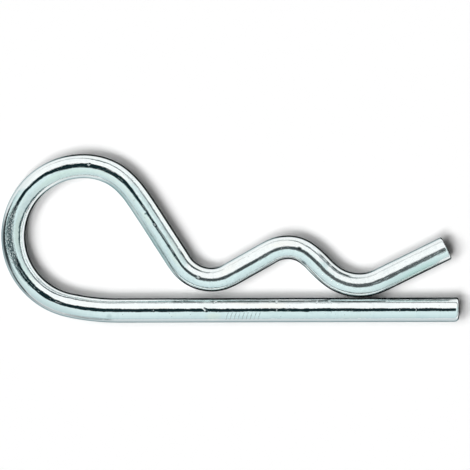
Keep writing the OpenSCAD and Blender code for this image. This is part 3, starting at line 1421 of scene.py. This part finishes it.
@dataclass(frozen=True)
class SoftLight:
    """One soft light, far off.

    Args:
        name: its name.
        azimuth: direction it stands in, from +X towards +Y, in degrees.
        zenith: angle from straight overhead, in degrees.
        spread: angle across its disc, in degrees.
        level: level that it gives on the floor, where all lights together show a colour as written at 1.
    """

    name: str
    azimuth: float
    zenith: float
    spread: float
    level: float

    def make(self) -> bpy.types.Object:
        """Makes the lamp. It lights and shades, and metal doesn't show its disc.

        The strength that gives a level L on the floor is pi L / cos(zenith).

        Returns:
            The lamp.
        """
        azimuth, zenith = np.radians(self.azimuth), np.radians(self.zenith)
        light = bpy.data.lights.new(self.name, "SUN")
        light.angle = np.radians(self.spread)
        light.energy = np.pi * self.level / np.cos(zenith)
        lamp = put(self.name, light)
        towards = Vector((np.sin(zenith) * np.cos(azimuth), np.sin(zenith) * np.sin(azimuth), np.cos(zenith)))
        lamp.rotation_mode = "QUATERNION"
        lamp.rotation_quaternion = towards.to_track_quat("Z", "Y")
        lamp.visible_glossy = False
        return lamp


@dataclass
class Studio:
    """A plain pale floor, a plain pale sky, and a long soft box on the left of the picture.

    The soft box is three lights side by side, and a weak one from the far side softens the near edges.
    """

    tent: LightTent = field(default_factory=LightTent)
    floor_color: Color = (0.93, 0.93, 0.93, 1)
    floor_side: float = 8.0
    lights: Sequence[SoftLight] = (
        SoftLight("box_near", 241.0, 29.5, 22.0, 0.487),
        SoftLight("box_far", 198.5, 36.5, 20.0, 0.312),
        SoftLight("high", 159.0, 28.0, 20.0, 0.182),
        SoftLight("far_side", 98.0, 26.8, 22.0, 0.069),
    )
    sky_level: float = 0.026

    def floor(self, z: float) -> bpy.types.Object:
        """Makes a square floor round the origin.

        Args:
            z: its height.

        Returns:
            The floor.
        """
        half = self.floor_side / 2
        corners = [(-half, -half, z), (half, -half, z), (half, half, z), (-half, half, z)]
        mesh = bpy.data.meshes.new("floor")
        mesh.from_pydata(corners, [], [[0, 1, 2, 3]])
        floor = put("floor", mesh)
        material = bpy.data.materials.new("pale_floor")
        nodes = NodeTree(NodeTree.emptied(material))
        paint = nodes.add("ShaderNodeBsdfDiffuse", {"Color": self.floor_color})
        nodes.add("ShaderNodeOutputMaterial", {"Surface": paint.outputs["BSDF"]})
        mesh.materials.append(material)
        return floor

    def sky(self) -> bpy.types.World:
        """The world: the tent for metal and glass, white behind the floor, and a plain weak fill.

        Returns:
            The world.
        """
        world = bpy.data.worlds.new("light_tent")
        bpy.context.scene.world = world
        nodes = NodeTree(NodeTree.emptied(world))
        generated = nodes.add("ShaderNodeTexCoord").outputs["Generated"]
        inside = TentGroup(self.tent).place_in(nodes, direction=generated)["Color"]
        rays = nodes.add("ShaderNodeLightPath").outputs
        mirrored = nodes.math("MAXIMUM", rays["Is Glossy Ray"], rays["Is Transmission Ray"])
        mirrored = nodes.times(mirrored, nodes.math("LESS_THAN", rays["Diffuse Depth"], 0.5))
        plain = nodes.times(rays["Is Camera Ray"], 1 - self.sky_level, plus=self.sky_level)
        grey = nodes.add("ShaderNodeCombineColor", enumerate([plain] * 3)).outputs[0]
        seen = {"Color": nodes.mix(mirrored, grey, inside), "Strength": 1.0}
        back = nodes.add("ShaderNodeBackground", seen)
        nodes.add("ShaderNodeOutputWorld", {"Surface": back.outputs[0]})
        return world


@dataclass
class PhotoCamera:
    """A camera straight above the clip, so far off that its rays are nearly parallel.

    It sees from a tenth of its distance to twenty times as far.
    """

    centre: tuple[float, float] = (-10.88 * MM, 15.40 * MM)
    picture_width: float = 96.3 * MM
    roll: float = 0.14
    lens: float = 300.0
    sensor: float = 36.0
    clip_shares: Span = (0.1, 20.0)

    def make(self) -> bpy.types.Object:
        """Makes the camera. It stands at picture width times lens over sensor above the wire's middle.

        Returns:
            The camera.
        """
        data = bpy.data.cameras.new("photo_camera")
        data.lens, data.sensor_width = self.lens, self.sensor
        away = self.picture_width * self.lens / self.sensor
        data.clip_start, data.clip_end = (away * share for share in self.clip_shares)
        camera = put("photo_camera", data)
        camera.location = (*self.centre, away)
        camera.rotation_euler = (0, 0, np.radians(-self.roll))
        bpy.context.scene.camera = camera
        return camera


def main() -> None:
    """Builds the camera, the clip and the studio, in that order."""
    logging.basicConfig(level=logging.INFO, format="%(name)s: %(message)s")
    bpy.context.scene.view_settings.view_transform = "Standard"
    PhotoCamera().make()
    clip = ClipWire()
    wire = clip.build()
    wire.data.materials.append(ZincShader(ZincFinish()).write())
    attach(wire, "root")
    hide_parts("clip_wire")
    LOG.info("%s: %d faces, %.1f mm of wire", wire.name, len(wire.data.polygons), clip.line.length / MM)
    studio = Studio()
    studio.floor(cad_box[0].z)
    for light in studio.lights:
        light.make()
    studio.sky()


if __name__ == "__main__":
    main()
